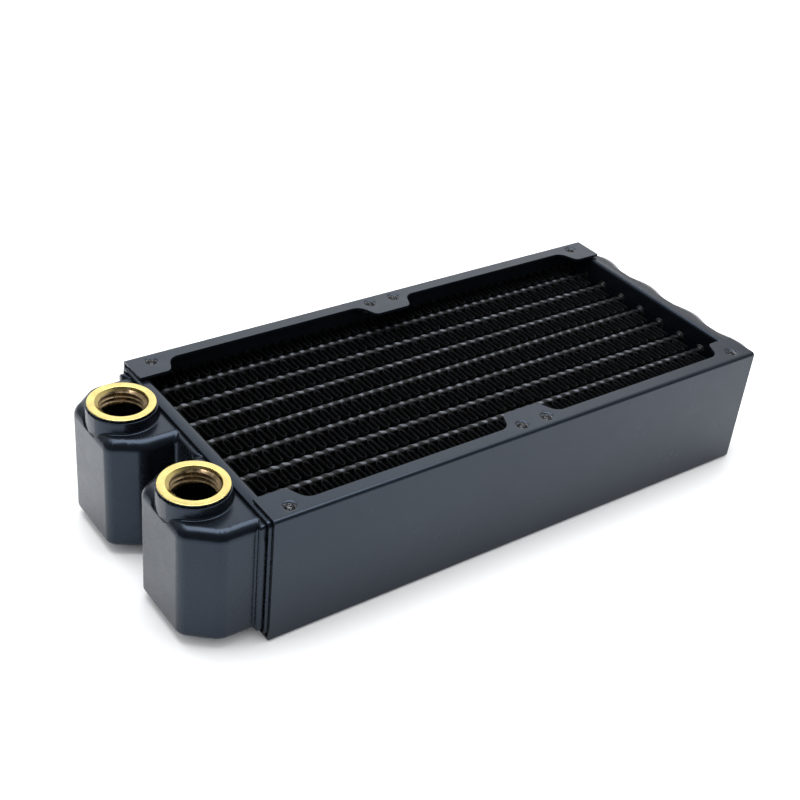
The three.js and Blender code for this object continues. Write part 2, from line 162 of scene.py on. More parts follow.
class RadiatorTankSizes(bpy.types.PropertyGroup):
    wall: length("Wall", "Wall of both tanks", 1.0)
    rim_standout: length("Rim standout", "Edge of the header plate to the shoulder of a tank", 1.7)
    shoulder_step: length("Shoulder step", "The body is this much narrower than the rim", 1.4)
    rim_radius: length("Rim radius", "Edge radius of the port tank's rim", 1.0)
    chamber_radius: length("Chamber radius", "Edge radius of the top of a chamber", 3.0)
    chamber_foot_radius: length("Chamber foot", "Edge radius of the bottom of a chamber", 1.6)
    upright_trim: length("Upright corners", "Length that rounding takes off an upright corner's sides", 1.75)
    face_width: length("Face width", "Width of a chamber's flat outer face", 20.0)
    chamfer_length: length("Chamfer length", "Length of the slanted corners along the radiator", 8.0)
    valley_width: length("Valley width", "Free space between the chambers", 9.0)
    shoulder_blend: length("Shoulder blend", "Radius at the root of the shoulder", 0.5)
    valley_radius: length("Valley radius", "Radius at the root of the valley", 1.2)
    return_radius: length("Return radius", "Upper and lower edge radius of the return tank", 7.0)
    return_corner: length("Return corner", "Radius of the return tank's upright corners", 6.0)
    return_rim_radius: length("Return rim radius", "Edge radius of the return tank's rim", 0.6)
    flute_count: count("Flutes", "Upright flutes of the return tank", 4)
    flute_height: length("Flute height", "Crest and root, from the middle of the flutes", 1.4)
    neck_wall: length("Neck wall", "Wall of a port neck", 1.0)
    neck_foot: length("Neck foot", "Fillet at the foot of a port neck", 0.6)


class RadiatorPortSizes(bpy.types.PropertyGroup):
    thread_major: length("Thread major", "Major diameter of the port thread", 13.157)
    thread_depth: length("Thread depth", "Depth of the port thread", 0.856)
    thread_pitch: length("Thread pitch", "Pitch of the port thread", 1.337)
    thread_length: length("Thread length", "Top of the rim to the end of the thread", 5.0)
    relief: length("Relief", "The bore below the thread is wider than the thread by this much", 0.25)
    lead_in: length("Lead-in", "Depth of the chamfer above the thread", 0.8)
    bush_wall: length("Bush wall", "Root of the thread to the outside of the bush", 1.32)
    rim_thickness: length("Rim thickness", "Thickness of the bush's rim", 0.6)
    edge_chamfer: length("Edge chamfer", "Bright chamfer round the rim", 0.16)


class RadiatorFinish(bpy.types.PropertyGroup):
    panel_colour: colour("Panel paint", "Satin black paint of the side panels", (0.0042, 0.0052, 0.007))
    tank_colour: colour("Tank paint", "Satin black paint of the tanks", (0.003, 0.0038, 0.0054))
    core_colour: colour("Core paint", "Thin matt black on the tubes and fins", (0.004, 0.0043, 0.005))
    brass_colour: colour("Brass", "Turned brass of the ports", (0.68, 0.55, 0.21))
    # The darker brass of the port threads is painted shade inside the ports.
    thread_shade_colour: colour("Port thread", "Duller brass in the port threads", (0.36, 0.265, 0.155))
    steel_colour: colour("Bare thread", "Bare metal of the screw threads", (0.55, 0.56, 0.58))
    solder_colour: colour("Solder", "Dull solder", (0.022, 0.023, 0.026))
    panel_roughness: share("Panel roughness", "Roughness of the panel paint", 0.3)
    tank_roughness: share("Tank roughness", "Roughness of the tank paint", 0.26)


class RadiatorStage(bpy.types.PropertyGroup):
    floor_colour: colour("Floor", "Plain pale floor", (0.93, 0.93, 0.93))
    sky_strength: FloatProperty(
        name="Sky", description="Strength of the surrounding light", default=1.0, min=0.0
    )
    top_power: power("Top light", "Power of the large light above", 9.5)
    back_power: power("Back light", "Power of the light behind", 1.6)
    front_dim: share("Front", "Brightness of the room's front half where it shines off the object", 0.12)
    lens: FloatProperty(
        name="Lens", description="Focal length", default=60.37 * MM, min=MM, unit="CAMERA"
    )


# ----- mesh helpers -----


def vertices_of(geometry):
    return [g for g in geometry if isinstance(g, bmesh.types.BMVert)]


def edges_of(geometry):
    return [g for g in geometry if isinstance(g, bmesh.types.BMEdge)]


def faces_of(geometry):
    return [g for g in geometry if isinstance(g, bmesh.types.BMFace)]


def everything(bm):
    return [*bm.verts, *bm.edges, *bm.faces]


def open_edges(bm, test=lambda edge: True):
    return [e for e in bm.edges if e.is_boundary and test(e)]


def grow(bm, edges, place, material=0):
    """Extrudes edges by one step, puts each new vertex where place() says and returns the new edges."""
    made = bmesh.ops.extrude_edge_only(bm, edges=edges)["geom"]
    fresh = set(vertices_of(made))
    for v in fresh:
        v.co = place(v.co.copy(), v)
    for f in faces_of(made):
        f.material_index = material
    return [e for e in edges_of(made) if e.verts[0] in fresh and e.verts[1] in fresh]


def ring(bm, edges, centre, radius, height, material=0):
    """Extrudes a loop round an upright axis to a new radius and height."""

    def place(co, _):
        away = Vector((co.x - centre[0], co.y - centre[1]))
        away = away.normalized() * radius
        return Vector((centre[0] + away.x, centre[1] + away.y, height))

    return grow(bm, edges, place, material)


def face_from(bm, points):
    return bm.faces.new([bm.verts.new(p) for p in points])


def round_corners(bm, vertices, radius, segments):
    """Rounds corners of a flat face: radius is the length taken off each side."""
    if vertices:
        bmesh.ops.bevel(
            bm,
            geom=vertices,
            offset=radius,
            offset_type="OFFSET",
            segments=segments,
            profile=0.5,
            affect="VERTICES",
            material=-1,
        )


def quarter_turn(steps, first=1):
    """The angles of a quarter turn in even steps."""
    return [i / steps * pi / 2 for i in range(first, steps + 1)]


def drop_faces(bm, faces):
    bmesh.ops.delete(bm, geom=faces, context="FACES_ONLY")


def weld(bm, distance=MERGE_DISTANCE):
    bmesh.ops.remove_doubles(bm, verts=bm.verts, dist=distance)


def clip(bm, place, normal, **clear):
    """Cuts the whole mesh along a plane and clears one side of it."""
    bmesh.ops.bisect_plane(
        bm, geom=everything(bm), dist=CUT_DISTANCE, plane_co=place, plane_no=normal, **clear
    )


def recalculate(bm):
    weld(bm)
    bmesh.ops.recalc_face_normals(bm, faces=bm.faces)


def turn_out(bm, outward):
    """Makes an open skin's faces point the way that outward() says most of them should."""
    recalculate(bm)
    bm.normal_update()
    if sum(f.calc_area() * f.normal.dot(outward(f.calc_center_median())) for f in bm.faces) < 0:
        bmesh.ops.reverse_faces(bm, faces=bm.faces)


def to_end(bm, side):
    """Moves a shape drawn with +X away from the middle of the frame to one end of it."""
    bmesh.ops.scale(bm, verts=bm.verts, vec=(side, 1, 1))
    bmesh.ops.translate(bm, verts=bm.verts, vec=(MIDDLE_X, 0, 0))
    if side < 0:
        bmesh.ops.reverse_faces(bm, faces=bm.faces)


def remove_piece(name):
    old = bpy.data.objects.get(name)
    if old is not None:
        bpy.data.objects.remove(old)


def finish_piece(name, bm, materials, node, sheet=0.0, sheet_offset=-1.0, edge_break=0.0):
    """Makes the bmesh a piece of the object that rides on the frame in place of a CAD node."""
    remove_piece(name)
    mesh = bpy.data.meshes.new(name)
    bm.to_mesh(mesh)
    bm.free()
    mesh.shade_smooth()
    for material in materials:
        mesh.materials.append(material)
    piece = bpy.data.objects.new(name, mesh)
    bpy.context.scene.collection.objects.link(piece)
    if sheet:
        wall = piece.modifiers.new("Sheet", "SOLIDIFY")
        wall.thickness = sheet
        wall.offset = sheet_offset
        wall.use_even_offset = True
    if edge_break:
        soft = piece.modifiers.new("Edge break", "BEVEL")
        soft.width = edge_break
        soft.segments = 2
        soft.limit_method = "ANGLE"
        soft.angle_limit = SHARP_ANGLE
        soft.use_clamp_overlap = True
    flat = piece.modifiers.new("Even shading", "WEIGHTED_NORMAL")
    flat.keep_sharp = True
    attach(piece, "root")
    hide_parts(node)
    return piece


# ----- materials -----


class Shader:
    """A material's node tree, with short ways to add and join nodes."""

    def __init__(self, name):
        self.material = bpy.data.materials.get(name) or bpy.data.materials.new(name)
        self.material.use_nodes = True
        self.tree = self.material.node_tree
        self.tree.nodes.clear()
        self.output = self.tree.nodes.new("ShaderNodeOutputMaterial")
        self.surface = self.tree.nodes.new("ShaderNodeBsdfPrincipled")
        self.join(self.surface, "BSDF", self.output, "Surface")
        self.place = self.tree.nodes.new("ShaderNodeTexCoord")

    def join(self, start, out, end, into):
        self.tree.links.new(start.outputs[out], end.inputs[into])

    def noise(self, scale, detail=2.0, roughness=0.5, stretch=None):
        node = self.tree.nodes.new("ShaderNodeTexNoise")
        node.inputs["Scale"].default_value = scale
        node.inputs["Detail"].default_value = detail
        node.inputs["Roughness"].default_value = roughness
        if stretch is None:
            self.join(self.place, "Object", node, "Vector")
        else:
            mapping = self.tree.nodes.new("ShaderNodeMapping")
            mapping.inputs["Scale"].default_value = stretch
            self.join(self.place, "Object", mapping, "Vector")
            self.join(mapping, "Vector", node, "Vector")
        return node

    def remap(self, source, out, low, high, to_low, to_high):
        node = self.tree.nodes.new("ShaderNodeMapRange")
        node.inputs["From Min"].default_value = low
        node.inputs["From Max"].default_value = high
        node.inputs["To Min"].default_value = to_low
        node.inputs["To Max"].default_value = to_high
        self.join(source, out, node, "Value")
        return node

    def maths(self, operation, source, out, *values):
        node = self.tree.nodes.new("ShaderNodeMath")
        node.operation = operation
        self.join(source, out, node, 0)
        for i, value in enumerate(values, 1):
            node.inputs[i].default_value = value
        return node

    def product(self, first, first_out, second, second_out):
        node = self.maths("MULTIPLY", first, first_out)
        self.join(second, second_out, node, 1)
        return node

    def blend(self, factor, factor_out, first, second):
        node = self.tree.nodes.new("ShaderNodeMix")
        node.data_type = "RGBA"
        node.inputs["A"].default_value = (*first, 1)
        node.inputs["B"].default_value = (*second, 1)
        self.join(factor, factor_out, node, "Factor")
        return node

    def axes(self):
        node = self.tree.nodes.new("ShaderNodeSeparateXYZ")
        self.join(self.place, "Object", node, "Vector")
        return node

    def colour(self, factor, factor_out, first, second):
        """Base colour between two shades."""
        self.join(self.blend(factor, factor_out, first, second), "Result", self.surface, "Base Color")

    def mottle(self, noise, low, high, first, second):
        """Base colour that drifts between two shades with a noise."""
        self.colour(self.remap(noise, "Fac", low, high, 0, 1), "Result", first, second)

    def roughness(self, noise, smooth, rough):
        self.join(self.remap(noise, "Fac", 0.3, 0.7, smooth, rough), "Result", self.surface, "Roughness")

    def keep(self, socket, value):
        self.surface.inputs[socket].default_value = value

    def bump(self, source, out, strength, distance, under=None):
        node = self.tree.nodes.new("ShaderNodeBump")
        node.inputs["Strength"].default_value = strength
        node.inputs["Distance"].default_value = distance
        self.join(source, out, node, "Height")
        if under is not None:
            self.join(under, "Normal", node, "Normal")
        self.join(node, "Normal", self.surface, "Normal")
        return node


def lighter(colour_value, factor):
    return tuple(min(1.0, c * factor) for c in colour_value)


PAINT_SHEEN = (0.52, 0.68, 0.94)


def satin_paint(name, base, roughness):
    """Sprayed satin paint: fine orange peel, faint dust specks and a slightly uneven gloss."""
    shader = Shader(name)
    cloud = shader.noise(38, detail=3)
    shader.mottle(cloud, 0.35, 0.65, lighter(base, 0.85), lighter(base, 1.2))
    gloss = shader.noise(160, detail=4, roughness=0.6)
    shader.roughness(gloss, roughness - 0.035, roughness + 0.045)
    peel = shader.noise(900, detail=1.5)
    first = shader.bump(peel, "Fac", 0.12, 0.06 * MM)
    grit = shader.noise(4200, detail=1)
    shader.bump(shader.remap(grit, "Fac", 0.66, 0.8, 0, 1), "Result", 0.25, 0.03 * MM, under=first)
    shader.keep("IOR", 1.5)
    shader.keep("Specular Tint", (*PAINT_SHEEN, 1))
    return shader.material


def tank_paint(finish):
    return satin_paint("tank_paint_satin", finish.tank_colour, finish.tank_roughness)


def core_paint(base):
    """A thin, dull coat sprayed into the core, a little lighter in random patches."""
    shader = Shader("core_paint_black")
    patch = shader.noise(420, detail=3)
    shader.mottle(patch, 0.4, 0.7, base, lighter(base, 2.2))
    shader.roughness(shader.noise(900, detail=2), 0.55, 0.7)
    shader.bump(shader.noise(2500, detail=2), "Fac", 0.2, 0.04 * MM)
    shader.keep("Specular IOR Level", 0.1)
    return shader.material


# How the painted glints on the tubes' edges lean, and where they fade: below the crown of the edge and
# before the header plate at +X.
DASH_SLANT = 0.9
CROWN_FADE = (0.36 * MM, 0.08 * MM)
END_FADE = (16 * MM, 5 * MM)
GLINT_BRIGHTNESS = 30


def tube_paint(base, fold_step):
    """The same coat with painted glints: lighter dashes on the crowns of the tubes' edges over each lump of
    solder, where light would catch them, so that the edges look dashed.
    """
    shader = Shader("tube_edge_paint")
    parts = shader.axes()
    along = shader.maths("MULTIPLY_ADD", parts, "X", pi / fold_step, -MIDDLE_X * pi / fold_step)
    slant = shader.maths("MULTIPLY", parts, "Y", DASH_SLANT / MM)
    phase = shader.maths("ADD", along, "Value")
    shader.join(slant, "Value", phase, 1)
    wave = shader.maths("SINE", phase, "Value")
    lumps = shader.remap(wave, "Value", -0.1, 0.7, 0, 1)
    thin = shader.remap(shader.noise(330, detail=2), "Fac", 0.3, 0.6, 0.3, 1)
    lift = shader.maths("ABSOLUTE", shader.maths("SUBTRACT", parts, "Z", MIDDLE_Z), "Value")
    _, tall = tube_halves()
    crown = shader.remap(lift, "Value", tall - CROWN_FADE[0], tall - CROWN_FADE[1], 0, 1)
    end = HEADER_CORE_SIDE + MIDDLE_X
    full = shader.remap(parts, "X", end - END_FADE[0], end - END_FADE[1], 1, 0.08)
    # The lighter dashes are painted highlight: glints on the crowns of the tube edges, broken up by noise
    # and faded before the header plate.
    painted_glint = shader.product(shader.product(lumps, "Result", thin, "Result"), "Value", crown, "Result")
    painted_glint = shader.product(painted_glint, "Value", full, "Result")
    shader.colour(painted_glint, "Value", base, lighter(base, GLINT_BRIGHTNESS))
    shader.roughness(shader.noise(500, detail=2), 0.4, 0.55)
    shader.bump(shader.noise(1800, detail=2), "Fac", 0.25, 0.06 * MM)
    shader.keep("Specular IOR Level", 0.12)
    return shader.material


def turned_brass(base, rings=True):
    """Machined brass: fine rings from the lathe round each port and faint tarnish."""
    shader = Shader("turned_brass" if rings else "plain_brass")
    cloud = shader.noise(300, detail=4)
    shader.mottle(cloud, 0.35, 0.7, lighter(base, 0.82), lighter(base, 1.08))
    shader.keep("Metallic", 1.0)
    shader.roughness(shader.noise(700, detail=3), 0.16, 0.3)
    marks = shader.tree.nodes.new("ShaderNodeTexWave")
    marks.inputs["Scale"].default_value = 900
    marks.inputs["Distortion"].default_value = 1.5
    marks.inputs["Detail"].default_value = 2
    if rings:
        marks.wave_type = "RINGS"
        marks.rings_direction = "Z"
        parts = shader.axes()
        fold = shader.maths("ABSOLUTE", parts, "Y")
        whole = shader.tree.nodes.new("ShaderNodeCombineXYZ")
        shader.join(parts, "X", whole, "X")
        shader.join(fold, "Value", whole, "Y")
        shader.join(parts, "Z", whole, "Z")
        centre = shader.tree.nodes.new("ShaderNodeMapping")
        centre.inputs["Location"].default_value = (-PORT_X, -PORT_Y, 0)
        shader.join(whole, "Vector", centre, "Vector")
        shader.join(centre, "Vector", marks, "Vector")
    else:
        shader.join(shader.place, "Object", marks, "Vector")
    shader.bump(marks, "Fac", 0.12, 0.03 * MM)
    return shader.material


def shaded_thread_brass(base):
    """Brass made darker between the crests of the port thread: painted shade inside the bore, with random
    stains.
    """
    shader = Shader("port_thread_brass")
    stain = shader.noise(500, detail=4)
    shader.mottle(stain, 0.35, 0.65, lighter(base, 0.55), lighter(base, 1.3))
    shader.keep("Metallic", 1.0)
    shader.roughness(stain, 0.2, 0.38)
    shader.bump(shader.noise(2600, detail=2), "Fac", 0.2, 0.03 * MM)
    return shader.material


def bare_metal(base):
    """Bare metal left by the tap."""
    shader = Shader("bare_thread_metal")
    patch = shader.noise(1500, detail=3)
    shader.mottle(patch, 0.4, 0.6, lighter(base, 0.75), base)
    shader.keep("Metallic", 1.0)
    shader.roughness(patch, 0.18, 0.34)
    shader.bump(shader.noise(4000, detail=2), "Fac", 0.2, 0.02 * MM)
    return shader.material


def dull_solder(base):
    """Solder under the thin core paint, lumpy and half bright."""
    shader = Shader("painted_solder")
    patch = shader.noise(600, detail=4)
    shader.mottle(patch, 0.4, 0.65, lighter(base, 0.15), base)
    shader.keep("Metallic", 0.4)
    shader.roughness(patch, 0.3, 0.5)
    shader.bump(shader.noise(1100, detail=3), "Fac", 0.5, 0.15 * MM)
    return shader.material


def floor_material(base):
    shader = Shader("pale_floor")
    cloud = shader.noise(3, detail=2)
    shader.mottle(cloud, 0.3, 0.7, lighter(base, 0.985), base)
    shader.roughness(cloud, 0.75, 0.85)
    return shader.material


# ----- side panels -----

HOLE_SEGMENTS = 24
HOLE_DRAW = 0.7 * MM
BEND_STEPS = 8


def seams(sizes):
    """The edges of the two fans, along the radiator."""
    return [MIDDLE_X + side * sizes.fan_size for side in (-1, 0, 1)]


def hole_places(sizes):
    left, middle, right = seams(sizes)
    inset = sizes.hole_inset
    return [left + inset, middle - inset, middle + inset, right - inset]


def flange_outline(sizes, fold_y):
    """One long fold and three screw tabs, drawn in plan from left to right."""
    edge_y = PANEL_LOW.y + sizes.flange_width
    tip_y = PANEL_HIGH.y
    left, middle, right = seams(sizes)
    end_tip, middle_tip, flare = sizes.end_tab_half, sizes.middle_tab_half, sizes.tab_flare
    tips = [left + end_tip, middle - middle_tip, middle + middle_tip, right - end_tip]
    roots = [left + end_tip + flare, middle - middle_tip - flare, middle + middle_tip + flare]
    roots.append(right - end_tip - flare)
    plan = [(PANEL_LOW.x, fold_y), (PANEL_LOW.x, tip_y), (tips[0], tip_y), (roots[0], edge_y)]
    plan += [(roots[1], edge_y), (tips[1], tip_y), (tips[2], tip_y), (roots[2], edge_y)]
    plan += [(roots[3], edge_y), (tips[3], tip_y), (PANEL_HIGH.x, tip_y), (PANEL_HIGH.x, fold_y)]
    return [(x, y, FRAME_HEIGHT) for x, y in plan]


def flange(bm, sizes, fold_y):
    """A flat flange with rounded tabs and open screw holes. Returns the loops of the holes."""
    plate = face_from(bm, flange_outline(sizes, fold_y))
    edge_y = PANEL_LOW.y + sizes.flange_width
    inner = [v for v in plate.verts if PANEL_LOW.x + MM < v.co.x < PANEL_HIGH.x - MM]
    tips = [v for v in inner if v.co.y > edge_y + MM]
    roots = [v for v in inner if v.co.y <= edge_y + MM]
    round_corners(bm, roots, sizes.root_radius, 5)
    tips = [v for v in bm.verts if v in tips]
    round_corners(bm, tips, sizes.tip_radius, 5)
    drop_faces(bm, bm.faces[:])
    hole_y = PANEL_LOW.y + sizes.hole_inset - (sizes.fan_size / 2 - OUTER_Y)
    holes = []
    for x in hole_places(sizes):
        place = Matrix.Translation((x, hole_y, FRAME_HEIGHT))
        circle = bmesh.ops.create_circle(
            bm, segments=HOLE_SEGMENTS, radius=sizes.hole_mouth, matrix=place
        )["verts"]
        loop = {e for v in circle for e in v.link_edges}
        holes.append(((x, hole_y), list(loop)))
    bmesh.ops.triangle_fill(bm, use_beauty=True, edges=bm.edges[:])
    return holes


def tapped_hole(bm, sizes, centre, loop):
    """The sheet is drawn in round a screw hole and then tapped."""
    mouth = sizes.hole_mouth
    throat = sizes.thread_minor
    for share_of_turn, bare in ((0.3, 0), (0.6, 0), (0.85, 1), (1.0, 1)):
        angle = share_of_turn * pi / 2
        radius = mouth - (mouth - throat) * sin(angle)
        height = FRAME_HEIGHT - HOLE_DRAW * (1 - cos(angle))
        loop = ring(bm, loop, centre, radius, height, material=bare)
    height = FRAME_HEIGHT - HOLE_DRAW
    for _ in range(sizes.thread_turns):
        for radius in (throat + sizes.thread_depth, throat):
            height -= sizes.thread_pitch / 2
            loop = ring(bm, loop, centre, radius, height, material=1)


def panel_skin(sizes):
    """The outer skin of the near side panel: flange, fold, half of the wall, and its mirror image."""
    bm = bmesh.new()
    radius = sizes.bend_radius
    fold_y = PANEL_LOW.y + radius
    for centre, loop in flange(bm, sizes, fold_y):
        tapped_hole(bm, sizes, centre, loop)
    fold = [e for e in bm.edges if all(abs(v.co.y - fold_y) < MERGE_DISTANCE for v in e.verts)]
    turned = bmesh.ops.spin(
        bm,
        geom=[*fold, *{v for e in fold for v in e.verts}],
        cent=(0, fold_y, FRAME_HEIGHT - radius),
        axis=(1, 0, 0),
        angle=pi / 2,
        steps=BEND_STEPS,
    )["geom_last"]
    grow(bm, edges_of(turned), lambda co, _: Vector((co.x, co.y, MIDDLE_Z)))
    bmesh.ops.mirror(
        bm, geom=everything(bm), matrix=Matrix.Translation((0, 0, -MIDDLE_Z)), merge_dist=-1, axis="Z"
    )
    turn_out(bm, lambda centre: Vector((0, PANEL_LOW.y - PANEL_HIGH.y, centre.z - MIDDLE_Z)))
    return bm


def mirrored(bm):
    """The far one of a pair."""
    bmesh.ops.scale(bm, verts=bm.verts, vec=(1, -1, 1))
    bmesh.ops.reverse_faces(bm, faces=bm.faces)
    return bm


class RADIATOR_OT_side_panels(bpy.types.Operator):
    """Fold the two side panels, with their screw tabs"""

    bl_idname = "radiator.side_panels"
    bl_label = "Side panels"

    def execute(self, context):
        sizes = context.scene.radiator_panel
        finish = context.scene.radiator_finish
        paint = satin_paint("panel_paint_satin", finish.panel_colour, finish.panel_roughness)
        metal = bare_metal(finish.steel_colour)
        near = panel_skin(sizes)
        pair = (("side_panel_near", near.copy()), ("side_panel_far", mirrored(near)))
        for node, bm in pair:
            name = f"{node}_folded"
            sheet, edge_break = sizes.sheet, sizes.edge_break
            finish_piece(name, bm, (paint, metal), node, sheet=sheet, edge_break=edge_break)
        return {"FINISHED"}


# ----- header plates -----

SOLDER_SUNK = 0.05 * MM


def tube_places():
    return [sum(corner.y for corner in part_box(node)) / 2 for node in TUBES]


def flat_loop(bm, x, y, half_thickness, half_height, segments=16):
    """The outline of a flat tube, as a loop of edges across the radiator."""
    turn = Matrix.Translation((x, y, MIDDLE_Z)) @ Matrix.Rotation(pi / 2, 4, "Y")
    verts = bmesh.ops.create_circle(bm, segments=segments, radius=half_thickness, matrix=turn)["verts"]
    stretch = half_height - half_thickness
    for v in verts:
        lift = v.co.z - MIDDLE_Z
        if abs(lift) > MERGE_DISTANCE:
            v.co.z += stretch if lift > 0 else -stretch
    return list({e for v in verts for e in v.link_edges})


def clamp(value, limit):
    return max(-limit, min(limit, value))


def rounded_placer(x, half_width, half_height, corner, radius):
    """Puts a vertex on a rounded rectangle across the radiator, whose corner radius is now radius."""
    flat_y, flat_z = half_width - corner, half_height - corner

    def place(co, _):
        foot = Vector((clamp(co.y, flat_y), clamp(co.z - MIDDLE_Z, flat_z)))
        spot = foot + (Vector((co.y, co.z - MIDDLE_Z)) - foot).normalized() * radius
        return Vector((x, spot.x, MIDDLE_Z + spot.y))

    return place


def rounded_frame(bm, x, half, low, high, corner, segments):
    """The outline of a rounded rectangle across the radiator, as a loop of edges."""
    before = set(bm.edges)
    plate = face_from(bm, [(x, -half, low), (x, half, low), (x, half, high), (x, -half, high)])
    round_corners(bm, list(plate.verts), corner, segments)
    drop_faces(bm, [f for f in bm.faces if not before.intersection(f.edges)])
    return [e for e in bm.edges if e not in before]


def bend_over(bm, loop, face_x, side, half_width, half_height, corner, bend, steps):
    """Bends a wall over towards the flat face at face_x, which looks along X to that side."""
    for angle in quarter_turn(steps):
        x = face_x - side * bend * (1 - sin(angle))
        radius = corner - bend * (1 - cos(angle))
        loop = grow(bm, loop, rounded_placer(x, half_width, half_height, corner, radius))
    return loop


def header_tray(core):
    """The header plate at +X: rim, bend, and a floor with a slot for each tube."""
    bm = bmesh.new()
    half, low, high = HEADER_HIGH.y, HEADER_LOW.z, HEADER_HIGH.z
    corner, bend = core.header_corner, core.header_bend
    loop = rounded_frame(bm, HEADER_RIM, half, low, high, corner, 5)
    loop = grow(bm, loop, lambda co, _: Vector((HEADER_CORE_SIDE + bend, co.y, co.z)))
    loop = bend_over(bm, loop, HEADER_CORE_SIDE, -1, half, (high - low) / 2, corner, bend, 5)
    half_tube, tall_tube = tube_halves()
    for y in tube_places():
        loop += flat_loop(bm, HEADER_CORE_SIDE, y, half_tube + core.slot_gap, tall_tube + core.slot_gap)
    bmesh.ops.triangle_fill(bm, use_beauty=True, edges=loop)
    turn_out(bm, lambda centre: Vector((-1, 0, 0)))
    bmesh.ops.solidify(bm, geom=bm.faces[:], thickness=core.header_sheet)
    bm.normal_update()
    return bm


def solder_round_tubes(bm, core):
    """A closed bead of solder in the corner between each tube and the header plate."""
    half_tube, tall_tube = tube_halves()
    fillet, sunk = core.slot_fillet, SOLDER_SUNK
    for y in tube_places():
        first = flat_loop(bm, HEADER_CORE_SIDE + sunk, y, half_tube + fillet, tall_tube + fillet, 24)
        loop = first
        for share_of_turn in (0.0, 0.3, 0.6, 0.85, 1.0):
            gap = fillet * (1 - sin(share_of_turn * pi / 2)) + sunk
            rise = fillet * (1 - cos(share_of_turn * pi / 2))
            placer = flat_placer(y, half_tube + gap, tall_tube + gap, HEADER_CORE_SIDE - rise)
            loop = grow(bm, loop, placer, 1)
        loop = grow(bm, loop, flat_placer(y, half_tube + sunk, tall_tube + sunk, HEADER_CORE_SIDE + sunk), 1)
        bead = bmesh.ops.bridge_loops(bm, edges=[*first, *loop])["faces"]
        for f in bead:
            f.material_index = 1


def tube_halves():
    return (TUBE_HIGH.y - TUBE_LOW.y) / 2, (TUBE_HIGH.z - TUBE_LOW.z) / 2


def flat_placer(y, half_thickness, half_height, x):
    """Puts a vertex on a flat tube's outline at another distance from its middle line."""
    straight = half_height - half_thickness

    def place(co, _):
        foot = Vector((y, MIDDLE_Z + clamp(co.z - MIDDLE_Z, straight)))
        away = (Vector((co.y, co.z)) - foot).normalized() * half_thickness
        return Vector((x, foot.x + away.x, foot.y + away.y))

    return place


class RADIATOR_OT_header_plates(bpy.types.Operator):
    """Press the two header plates, with a slot and a solder fillet for each tube"""

    bl_idname = "radiator.header_plates"
    bl_label = "Header plates"

    def execute(self, context):
        core = context.scene.radiator_core
        finish = context.scene.radiator_finish
        paint = tank_paint(finish)
        solder = dull_solder(finish.solder_colour)
        tray = header_tray(core)
        solder_round_tubes(tray, core)
        bmesh.ops.recalc_face_normals(tray, faces=tray.faces)
        for node, side in (("header_plate_return", 1), ("header_plate_ports", -1)):
            bm = tray.copy()
            to_end(bm, side)
            finish_piece(f"{node}_pressed", bm, (paint, solder), node)
        tray.free()
        return {"FINISHED"}


# ----- tubes and fins -----

LOUVRE_MARGIN = 0.7 * MM
CREASE_SHARE = 0.14
FOLD_STEPS = 3


def solder_swell(core, x, side):
    """How far the solder stands out at x, where the folds of the fin strip on that side touch."""
    phase = 0 if side > 0 else pi
    wave = 0.5 + 0.5 * cos(pi * (x - MIDDLE_X) / core.fold_step + phase)
    return core.solder_swell * wave * wave


def lump_edges(bm, core, y, half, tall):
    """Swells both narrow edges of a tube, to one side and then the other, as the solder does."""
    for v in bm.verts:
        above = abs(v.co.z - MIDDLE_Z) - (tall - half)
        if above < -MERGE_DISTANCE or abs(v.co.x - MIDDLE_X) > HEADER_CORE_SIDE - MM:
            continue
        lean = (v.co.y - y) / half
        side = 1 if v.co.z > MIDDLE_Z else -1
        right, left = (solder_swell(core, v.co.x, s) for s in (1, -1))
        tilt = max(0.0, above) / half
        v.co.y += right * max(0.0, lean) - left * max(0.0, -lean)
        v.co.z += side * tilt * ((right - left) * lean - 0.5 * core.solder_swell)


def tube_body(core):
    """A flat tube with open ends. Solder swells its edges wherever a fin's fold touches it."""
    bm = bmesh.new()
    half, tall = tube_halves()
    y = (TUBE_LOW.y + TUBE_HIGH.y) / 2
    loop = flat_loop(bm, TUBE_LOW.x, y, half, tall)
    steps = round((TUBE_HIGH.x - TUBE_LOW.x) / (core.fold_step / 4))
    pace = (TUBE_HIGH.x - TUBE_LOW.x) / steps
    for _ in range(steps):
        loop = grow(bm, loop, lambda co, _: co + Vector((pace, 0, 0)))
    lump_edges(bm, core, y, half, tall)
    for end_x in (TUBE_LOW.x, TUBE_HIGH.x):
        rim = open_edges(bm, lambda e: all(abs(v.co.x - end_x) < MERGE_DISTANCE for v in e.verts))
        wall = core.tube_wall
        grow(bm, rim, flat_placer(y, half - wall, tall - wall, end_x))
    bmesh.ops.bridge_loops(bm, edges=open_edges(bm))
    recalculate(bm)
    return bm


class RADIATOR_OT_tubes(bpy.types.Operator):
    """Draw the eight flat tubes"""

    bl_idname = "radiator.tubes"
    bl_label = "Tubes"

    def execute(self, context):
        core = context.scene.radiator_core
        paint = tube_paint(context.scene.radiator_finish.core_colour, core.fold_step)
        first = tube_body(core)
        places = tube_places()
        for node, y in zip(TUBES, places):
            bm = first.copy()
            bmesh.ops.translate(bm, verts=bm.verts, vec=(0, y - places[0], 0))
            finish_piece(f"{node}_drawn", bm, (paint,), node)
        first.free()
        return {"FINISHED"}


def louvre_levels(core):
    """Heights at which a fin wall is creased, from the lower face to the upper one."""
    steps = [LOUVRE_MARGIN + i * core.louvre_pitch / 2 for i in range(2 * core.louvre_count + 1)]
    return [FIN_LOW.z + step for step in steps] + [FIN_HIGH.z - step for step in steps[::-1]]


